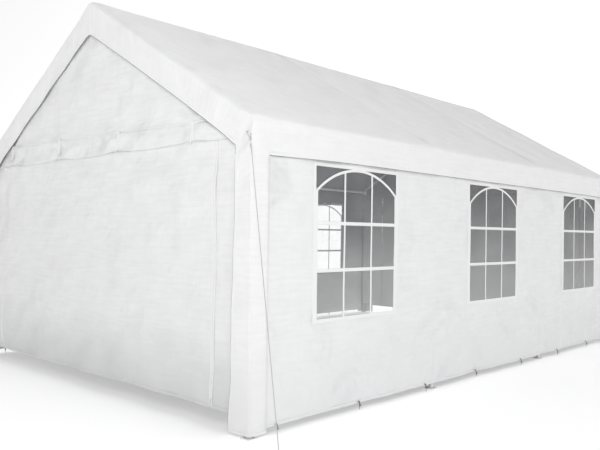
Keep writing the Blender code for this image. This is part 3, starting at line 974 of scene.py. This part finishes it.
# %% [markdown]
# ## Long walls
#
# A long wall is one strip of sheet behind the valance, with a window in each bay. It lies on
# the posts, sinks in a little between them and waves at the hem. Its grid has lines at every
# window edge, so that the openings are true holes.

# %% The long wall's surface
def wall_points(side, y, z, lift=0.0):
    """Points on the long wall, lifted outwards by a given amount."""
    return together(side * (WALL_X + wall_out(y, z) + lift), y, z)


def make_long_wall(side_name, side):
    """The wall's sheet, with the cells inside each window left out, its hem and its ties."""
    edges = [centre + edge * WINDOW_HALF for centre in WINDOW_Y.values() for edge in (-1, 1)]
    y = spaced([-WALL_END_Y, *edges, WALL_END_Y], CELL)
    grid_y, grid_z, uv = flat_grid(y, spaced([WALL_Z, SILL_Z, HEAD_Z, WALL_TOP_Z], CELL))
    middle_y, middle_z = ((grid[1:, 1:] + grid[:-1, :-1]) / 2 for grid in (grid_y, grid_z))
    in_window = (middle_z > SILL_Z) & (middle_z < HEAD_Z) & np.any(
        [np.abs(middle_y - centre) < WINDOW_HALF for centre in WINDOW_Y.values()], axis=0)
    piece = sheet_piece(f"{side_name}_wall_sheet", wall_points(side, grid_y, grid_z), uv, WALL,
                        (side, 0, 0), ~in_window, lining=WALL_LINING)
    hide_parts(f"{side_name}_wall")
    hem = hem_strip(wall_points(side, y, WALL_Z + HEM / 2), (0, 0, 1), (side, 0, 0), 0.0010)
    joined_piece(f"{side_name}_wall_hem", [hem], WALL)
    low = spaced([0.11, 0.36], CELL)
    ties = [strip(wall_points(side, frame_y, low), (0, 1, 0), (side, 0, 0), 0.016, 0.0022, sunk=0.001)
            for frame_y in FRAME_Y[1:3]]
    joined_piece(f"{side_name}_wall_ties", ties, TAPE)


for side_name, side in SIDES.items():
    make_long_wall(side_name, side)
print("long walls:", 2, "with", len(WINDOW_Y), "windows each")

# %% [markdown]
# ## Windows
#
# Each window is a sheet of clear film behind the opening. White tape borders it and divides
# it: two upright bars, two level bars and a flat arch that springs from the sides and touches
# the head. The bars lie at slightly different heights, as tapes that cross do.

# %% Films, borders, bars and arch
BORDER, SIDE_STRIP = 0.026, 0.024
UPRIGHT_BAR, LEVEL_BAR, ARCH_BAR = 0.017, 0.024, 0.018
ARCH_RISE = 0.165
LEVEL_BARS_Z = (0.985, 1.303)
ARCH_HALF = WINDOW_HALF - ARCH_BAR * 0.25
ARCH_RADIUS = (ARCH_HALF ** 2 + ARCH_RISE ** 2) / (2 * ARCH_RISE)
ARCH_CROWN = HEAD_Z - ARCH_BAR / 2
FILM_LAP, FILM_THICK, FILM_BEHIND = 0.01, 0.0004, 0.0028


def window_bars(side, centre):
    """Border strips, side strips, upright and level bars, and the arch, as joined strips.

    The arch's middle line is a circle through both springing points and the crown.
    """
    def upright(y, top, width, thick, sunk=0.0):
        path = wall_points(side, centre + y, spaced([SILL_Z, top], CELL))
        return strip(path, (0, 1, 0), (side, 0, 0), width, thick, sunk)

    def level(z, reach, width, thick, sunk=0.0):
        path = wall_points(side, centre + spaced([-reach, reach], CELL), z)
        return strip(path, (0, 0, 1), (side, 0, 0), width, thick, sunk)

    limit = math.asin(ARCH_HALF / ARCH_RADIUS)
    angle = np.linspace(-limit, limit, 33)
    arch = wall_points(side, centre + ARCH_RADIUS * np.sin(angle),
                       ARCH_CROWN - ARCH_RADIUS * (1 - np.cos(angle)))
    shapes = [strip(arch, together(0, np.sin(angle), np.cos(angle)), (side, 0, 0), ARCH_BAR, 0.0016)]
    third = WINDOW_HALF / 3
    top = ARCH_CROWN - ARCH_RADIUS + math.sqrt(ARCH_RADIUS ** 2 - third ** 2)
    for edge in (-1, 1):
        shapes += [
            upright(edge * (WINDOW_HALF + BORDER * 0.35), HEAD_Z, BORDER, 0.0019, 0.001),
            upright(edge * (WINDOW_HALF - SIDE_STRIP * 0.4), ARCH_CROWN - ARCH_RISE, SIDE_STRIP,
                    0.0022, 0.001),
            upright(edge * third, top, UPRIGHT_BAR, 0.0010)]
    shapes += [level(z, WINDOW_HALF + BORDER * 0.85, BORDER, 0.0021, 0.001)
               for z in (SILL_Z - BORDER * 0.35, HEAD_Z + BORDER * 0.35)]
    return shapes + [level(z, WINDOW_HALF, LEVEL_BAR, 0.0013) for z in LEVEL_BARS_Z]


def make_window(bay_name, centre, side_name, side):
    half = WINDOW_HALF + FILM_LAP
    y = spaced([centre - half, centre + half], CELL)
    z = spaced([SILL_Z - FILM_LAP, HEAD_Z + FILM_LAP], CELL)
    grid_y, grid_z, uv = flat_grid(y, z)
    waves = ripples(grid_y, grid_z, 41 + side, 0.5, 0.0004)
    film = sheet_piece(f"window_film_{bay_name}_{side_name}",
                       wall_points(side, grid_y, grid_z, waves - FILM_BEHIND), uv, FILM,
                       (side, 0, 0), thickness=FILM_THICK)
    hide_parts(f"window_{bay_name}_{side_name}")
    bars = joined_piece(f"window_bars_{bay_name}_{side_name}", window_bars(side, centre), TAPE)


for side_name, side in SIDES.items():
    for bay_name, centre in WINDOW_Y.items():
        make_window(bay_name, centre, side_name, side)
print("windows:", len(SIDES) * len(WINDOW_Y))

# %% [markdown]
# ## End walls and roll-up doors
#
# Each end wall hangs inside the frame. Its door is a wide panel, zipped at both sides, that
# rolls up under a header band. Webbing tabs with toggles hang from the band to tie the roll.
# The band droops between the tabs, and the sheet below is drawn into shallow folds.

# %% The end wall's surface
TAB_PITCH, TAB_SHIFT = 0.90, -0.048
TAB_TOP_Z, TAB_LOW_Z = 1.965, 1.856
BAND_TILT, BAND_DROOP, BAND_LIFT = 0.018, 0.024, 0.0032
DOOR_LAP, DOOR_LIFT = 0.010, 0.0014
CUT_X, CUT_Z = 1.86, 1.87


def tab_places(end):
    """Where the tabs hang: four, a pitch apart, a little off the middle of the door."""
    return -end * TAB_SHIFT + TAB_PITCH * np.array([-1.5, -0.5, 0.5, 1.5])


def top_of_end(x):
    """The line of the rafters' axes, where the end wall is laced to the frame."""
    return end_high.z - 0.004 - SLOPE * np.maximum(np.abs(x) - 0.02, 0)


def end_out(x, z, end):
    """How far an end wall stands off its plane, towards the outside: most in the gable.

    It is eased to nothing at its edges, over a shorter way in the gable.
    """
    inset = np.minimum(END_EDGE_X - np.abs(x), (top_of_end(x) - z) * math.cos(PITCH))
    gable = ramp((z - 2.05) / 0.25)
    body = ramp((inset - 0.04 + 0.02 * gable) / (0.16 - 0.07 * gable))
    out = ripples(x, z, 51, 1.2, 0.0050) + ripples(x + 5, z, 52, 0.5, 0.0030, crisp=True)
    out = out + ramp(1 - (z - END_Z) / 0.6) * ripples(x, z, 53, 0.7, 0.0090, lean=-0.7)
    out = out + crest(z, 1.90, 0.13) * ripples(x, z, 54, 0.30, 0.0040, lean=0.7)
    for number, place in enumerate(tab_places(end)):
        out = out + fan(x, z, (place, TAB_TOP_Z), 8, 0.15, 0.0040, number)
        out = out + fan(x, z, (place, 1.80), 7, 0.26, 0.0035, 2 * number)
    out = 0.020 + 0.010 * gable + np.clip(out, 0.010 * gable - 0.020, 0.012 - 0.006 * gable)
    return out * body ** 2 * (3 - 2 * body)


def end_points(end, x, z, lift=0.0):
    """Points on an end wall, lifted outwards by a given amount."""
    return together(x, end * (END_Y + end_out(x, z, end) + lift), z)


def make_end_wall(end_name, end):
    """The surround: two side panels up to the door's head, and the gable above them.

    The gable's rows share out the height up to the rafters. Cells beside the eave fittings are
    left out.
    """
    x = spaced([-END_EDGE_X, -DOOR_X, DOOR_X, END_EDGE_X], CELL)
    low = spaced([END_Z, DOOR_Z], CELL)
    share = spaced([0, 1], CELL / (end_high.z - DOOR_Z))[1:, None]
    z = np.concatenate([low[:, None] + 0 * x, DOOR_Z + share * (top_of_end(x) - DOOR_Z)])
    in_gable = np.arange(len(z) - 1)[:, None] >= len(low) - 1
    keep = in_gable | (np.abs(x[1:] + x[:-1]) / 2 > DOOR_X)
    for edge in (x[1:], x[:-1]):
        keep &= ~((np.abs(edge) > CUT_X) & (z[1:, 1:] > CUT_Z))
    piece = sheet_piece(f"{end_name}_end_sheet", end_points(end, x, z), together(x, z), END_WALL,
                        (0, end, 0), keep, lining=WALL_LINING)
    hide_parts(f"{end_name}_end_wall")


def make_door(end_name, end):
    """The roll-up panel, which laps over the edges of its opening."""
    x = spaced([-DOOR_X - DOOR_LAP, DOOR_X + DOOR_LAP], CELL)
    z = spaced([END_Z, DOOR_Z + DOOR_LAP], CELL)
    grid_x, grid_z, uv = flat_grid(x, z)
    piece = sheet_piece(f"{end_name}_door_sheet", end_points(end, grid_x, grid_z, DOOR_LIFT), uv,
                        END_WALL, (0, end, 0), lining=WALL_LINING)
    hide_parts(f"{end_name}_door")


for end_name, end in ENDS.items():
    make_end_wall(end_name, end)
    make_door(end_name, end)
print("end walls and doors:", 2 * len(ENDS))


# %% Header band, tabs and toggles
def band_edges(x, end):
    """The band's upper seam, which climbs a little towards one side, and its lower edge, which
    is level at each tab and hangs in an arc between two tabs."""
    share = ((x - tab_places(end)[0]) / TAB_PITCH) % 1.0
    return (TAB_TOP_Z + BAND_TILT * (0.95 + end * x),
            DOOR_Z + 0.010 - BAND_DROOP * 4 * share * (1 - share))


def band_points(end, x, share, lift=0.0):
    """The header band: sewn down at its top, and standing off more towards its lower edge."""
    top, low = band_edges(x, end)
    z = top + share * (low - top)
    loose = BAND_LIFT + share * (0.0006 + ripples(x, z, 61, 0.4, 0.0008))
    return end_points(end, x, z, loose + lift)


def make_header(end_name, end):
    """The band with its two seams, and the tabs, each with a knot and a toggle at its end."""
    reach, out, up = SLEEVE_INNER - 0.02, (0, end, 0), (0, 0, 1)
    x = spaced([-reach, reach], CELL)
    grid_x, grid_share, _ = flat_grid(x, np.linspace(0, 1, 9))
    points = band_points(end, grid_x, grid_share)
    band = sheet_piece(f"{end_name}_header_band", points, points[..., ::2], WALL, out,
                       lining=WALL_LINING)
    seams = [strip(band_points(end, x, 0.95), up, out, 0.010, 0.0005, sunk=0.0005),
             strip(band_points(end, x, 0.03), up, out, 0.012, 0.0006, sunk=0.0030)]
    joined_piece(f"{end_name}_band_seams", seams, WALL)
    shapes, toggles = [], []
    for place in tab_places(end):
        top, low = band_edges(place, end)
        z = spaced([top + 0.008, TAB_LOW_Z + BAND_TILT * end * place], 0.012)
        path = band_points(end, place, ramp((top - z) / (top - low)), 0.0020)
        path[:, 2] = z
        knot = path[-1] + np.array([0, end * 0.006, -0.006])
        shapes += [strip(path, (1, 0, 0), out, 0.030, 0.0018, sunk=0.0012),
                   turned(knot + [0, 0, 0.007], (0, 0, -1),
                          [(0.0025, 0), (0.0062, 0.003), (0.0062, 0.010), (0.0025, 0.014)])]
        toggles.append(turned(knot + [-0.008, end * 0.004, -0.011], (1, 0, 0.12),
                              [(0.002, 0), (0.0038, 0.002), (0.0032, 0.008), (0.0038, 0.014),
                               (0.002, 0.016)]))
    joined_piece(f"{end_name}_door_tabs", shapes, TAPE)
    joined_piece(f"{end_name}_door_toggles", toggles, PLASTIC)


def make_zips(end_name, end):
    """Zip tape at each side of the door with a raised row of teeth and a slider, and end hems."""
    out, level = (0, end, 0), (1, 0, 0)
    tapes, teeth, hems = [], [], []
    z = spaced([END_Z + 0.01, DOOR_Z - 0.01], CELL)
    for x in (-DOOR_X, DOOR_X):
        tapes.append(strip(end_points(end, x, z, DOOR_LIFT), level, out, 0.032, 0.0006, sunk=0.0010))
        slider = end_points(end, x, END_Z + 0.045, 0.0052)
        pull = np.linspace(slider, slider + [0, end * 0.004, -0.034], 4) + [0, end * 0.004, 0]
        body = np.linspace(slider + [0, 0, 0.012], slider - [0, 0, 0.010], 4)
        teeth += [strip(end_points(end, x, z, 0.0020), level, out, 0.0065, 0.0008, sunk=0.0006),
                  strip(body, level, out, 0.011, 0.0042, sunk=0.0010),
                  strip(pull, level, out, 0.006, 0.0016)]
    lap = DOOR_X + DOOR_LAP
    for low, high, lift in ((-END_EDGE_X, -lap, 0), (-lap, lap, DOOR_LIFT), (lap, END_EDGE_X, 0)):
        path = end_points(end, spaced([low, high], CELL), END_Z + HEM / 2, lift)
        hems.append(hem_strip(path, (0, 0, 1), out, 0.0010))
    joined_piece(f"{end_name}_end_hems", hems, END_WALL)
    joined_piece(f"{end_name}_zip_tapes", tapes, TAPE)
    joined_piece(f"{end_name}_zips", teeth, PLASTIC)


for end_name, end in ENDS.items():
    make_header(end_name, end)
    make_zips(end_name, end)
print("header bands at", DOOR_Z, "m with tabs at", np.round(tab_places(-1), 2))

# %% [markdown]
# ## Guy ropes
#
# At each eave corner two short cords come from eyelets in the sleeve and the valance to a
# ring. The rope hooks into it, runs straight to a ground peg, and doubles back to a runner
# that tightens it. The runs follow the line that the frame's own rope node holds.

# %% Ropes, rings, runners and pegs
ROPE_RADIUS, BRIDLE_RADIUS = 0.0028, 0.0020
SLEEVE_EYELET_Z, VALANCE_EYELET_Z, PEG_HEAD_Z = 1.838, 1.822, 0.034


def make_guy_rope(end_name, end, side_name, side):
    """Bridle, ring, hook, rope with its doubled lower run, runner and peg at one corner.

    The top of the rope and the head of its peg come from the box of the frame's rope node.
    """
    name = f"guy_rope_{end_name}_{side_name}"
    low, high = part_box(name)
    near = np.array([side * (HALF_WIDTH - 0.016), end * (HALF_LENGTH + 0.010), high.z - 0.010])
    far = np.array([side * (max(abs(low.x), abs(high.x)) - 0.005),
                    end * (max(abs(low.y), abs(high.y)) - 0.005), PEG_HEAD_Z])
    run = unit(far - near)
    beside = unit(np.cross(run, (0, 0, 1)))
    cords, rims = [], []
    for inset, proud, height, turn in ((0.054, 0.002, SLEEVE_EYELET_Z, 0.0),
                                       (0.020, -0.001, VALANCE_EYELET_Z, 0.3)):
        place = np.array([side * (HALF_WIDTH - inset), end * (HALF_LENGTH + proud), height])
        facing = np.array([side * turn, end, 0])
        bow = [place - 0.004 * facing, place + 0.007 * facing, (place + near) / 2 + 0.006 * facing,
               near + [0, 0, 0.010]]
        cords.append(tube(smooth_path(bow, 13), BRIDLE_RADIUS, (side, -end, 0.3)))
        rims.append(ring(place, facing, 0.0070, 0.0016))
    hook = near + run * 0.030
    bend = [near + run * 0.004 - beside * 0.006, near - run * 0.008,
            near + run * 0.006 + beside * 0.006, hook]
    runner = near + run * np.linalg.norm(far - near) * 0.945
    twin = [runner + beside * 0.012, runner + run * 0.02 + beside * 0.012,
            far - run * 0.03 + beside * 0.010, far + beside * 0.006]
    splice = [hook, hook + run * 0.02 + beside * 0.005, hook + run * 0.045]
    cords += [tube(path, ROPE_RADIUS, beside) for path in
              (np.linspace(hook, far, 60), smooth_path(twin, 30), smooth_path(splice, 9))]
    rope = joined_piece(f"{name}_line", cords, ROPE)
    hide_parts(name)
    bar = np.linspace(runner - beside * 0.010, runner + beside * 0.024, 7)
    block = strip(bar, run, unit(np.cross(beside, run)), 0.011, 0.005, sunk=0.004)
    joined_piece(f"{name}_runner", [block, *rims], PLASTIC)
    top = far + [0, 0, 0.008]
    lean = np.array([side * 0.004, end * 0.003, 0])
    peg = [far * [1, 1, 0] + [0, 0, 0.0015] - lean, far - lean * 0.4 - [0, 0, 0.006], top,
           top + [side * 0.004, end * 0.002, -0.006]]
    metal = [ring(near, beside, 0.010, 0.0015), tube(smooth_path(bend, 15), 0.0016, beside, 6),
             tube(smooth_path(peg, 14), 0.0034, (-end, side, 0))]
    joined_piece(f"{name}_metal", metal, ZINC)


for end_name, end in ENDS.items():
    for side_name, side in SIDES.items():
        make_guy_rope(end_name, end, side_name, side)
print("guy ropes:", len(ENDS) * len(SIDES))

# %% [markdown]
# ## Small parts
#
# Elastic loops hold the hems of the long walls to pegs. Bolts hold the tubes in their
# fittings, and two pegs go through each foot plate. All are small turned shapes and tubes, set
# out by loops and joined into a few pieces.

# %% Hem loops and pegs
LOOPS_Y = -2.775 + 0.825 * np.arange(7)
ELASTIC_RADIUS, PEG_RADIUS = 0.0020, 0.0022


def make_hem_loops(side_name, side):
    """Eyelets in the hem, elastic cords through them and hooked pegs in the ground."""
    eyelets, elastics, pegs = [], [], []
    out = np.array([side, 0.0, 0.0])
    for y in LOOPS_Y:
        hole = wall_points(side, y, WALL_Z + HEM * 0.55)
        face = hole + out * (HEM_THICK + 0.001)
        eyelets.append(ring(face, out, 0.0060, 0.0014, 14))
        head = hole * [1, 1, 0] + out * 0.016 + [0, 0, 0.028]
        for shift in (-0.003, 0.003):
            knots = [face - out * 0.002, face + out * 0.008 + [0, shift, 0.002],
                     head + [0, shift, -0.001], head + out * 0.004 + [0, shift * 0.3, -0.005]]
            elastics.append(tube(smooth_path(knots, 10), ELASTIC_RADIUS, (0, 1, 0.2), 7))
        peg = smooth_path([head * [1, 1, 0.06], head, head + out * 0.008 + [0, 0, 0.005],
                           head + out * 0.014 + [0, 0, -0.004]], 12)
        pegs.append(tube(peg, PEG_RADIUS, (0, 1, 0), 7))
    joined_piece(f"{side_name}_hem_eyelets", eyelets, ZINC)
    joined_piece(f"{side_name}_hem_elastics", elastics, ELASTIC)
    joined_piece(f"{side_name}_hem_pegs", pegs, DARK_PLASTIC)


for side_name, side in SIDES.items():
    make_hem_loops(side_name, side)
print("hem loops:", len(SIDES) * len(LOOPS_Y))

# %% Bolts and plate pegs
ELBOW_RADIUS, RUN_RADIUS, BOLT_REACH = 0.0200, 0.0215, 0.055
RIDGE_AXIS_Z = RIDGE_Z - (0.0043 + RUN_RADIUS) / math.cos(PITCH)
EAVE_AXIS_Z = RIDGE_AXIS_Z - POST_X * SLOPE


def bolt(centre, along, facing, radius):
    """A washer with a domed head, a bolt's reach along an arm, on the side that it faces."""
    centre, along, facing = (np.asarray(values) for values in (centre, along, facing))
    profile = [(0.0075, -0.001), (0.0075, 0.0012), (0.0055, 0.0014), (0.0052, 0.0034),
               (0.0030, 0.0048), (0.0008, 0.0052)]
    return turned(centre + along * BOLT_REACH + facing * radius, facing, profile)


def fitting_bolts():
    """One bolt on each arm of every eave and ridge fitting, on the side that faces inwards."""
    bolts = []
    for y in FRAME_Y:
        ridge = (0, y, RIDGE_AXIS_Z)
        arms = [(0, shift, 0) for shift in (-1, 1) if abs(y + shift * BAY) < 2 * BAY]
        for side in SIDES.values():
            eave, inwards = (side * POST_X, y, EAVE_AXIS_Z), (-side, 0, 0)
            up = np.array([-side * math.cos(PITCH), 0, math.sin(PITCH)])
            under = np.array([-side * math.sin(PITCH), 0, -math.cos(PITCH)])
            bolts += [bolt(eave, (0, 0, -1), inwards, ELBOW_RADIUS),
                      bolt(eave, up, under, ELBOW_RADIUS), bolt(ridge, -up, under, ELBOW_RADIUS)]
            bolts += [bolt(eave, arm, inwards, RUN_RADIUS) for arm in arms]
        bolts += [bolt(ridge, arm, (0, 0, -1), RUN_RADIUS) for arm in arms]
    return bolts


def plate_pegs():
    """Two round peg heads on each foot plate, at opposite corners."""
    profile = [(0.0075, 0), (0.0078, 0.002), (0.0050, 0.0042), (0.0010, 0.0048)]
    return [turned(np.array(place) + [corner, corner, 0.0048], (0, 0, 1), profile, 12)
            for place in feet.values() for corner in (-0.028, 0.028)]


joined_piece("fitting_bolts", fitting_bolts(), ZINC)
joined_piece("foot_plate_pegs", plate_pegs(), COAT)
print("bolts and peg heads placed")

# %% [markdown]
# ## The tubes
#
# The tubes and fittings of the frame stay as they are. They only get their powder coat.

# %% Powder coat on the frame
STEEL_NAMES = ("post_", "rafter_", "ridge_", "eave_tube_")
steel = [part for name, part in frame["nodes"].items() if name.startswith(STEEL_NAMES)]
for part in steel:
    part.data.materials.clear()
    part.data.materials.append(COAT)
print("coated:", len(steel), "tubes and fittings")
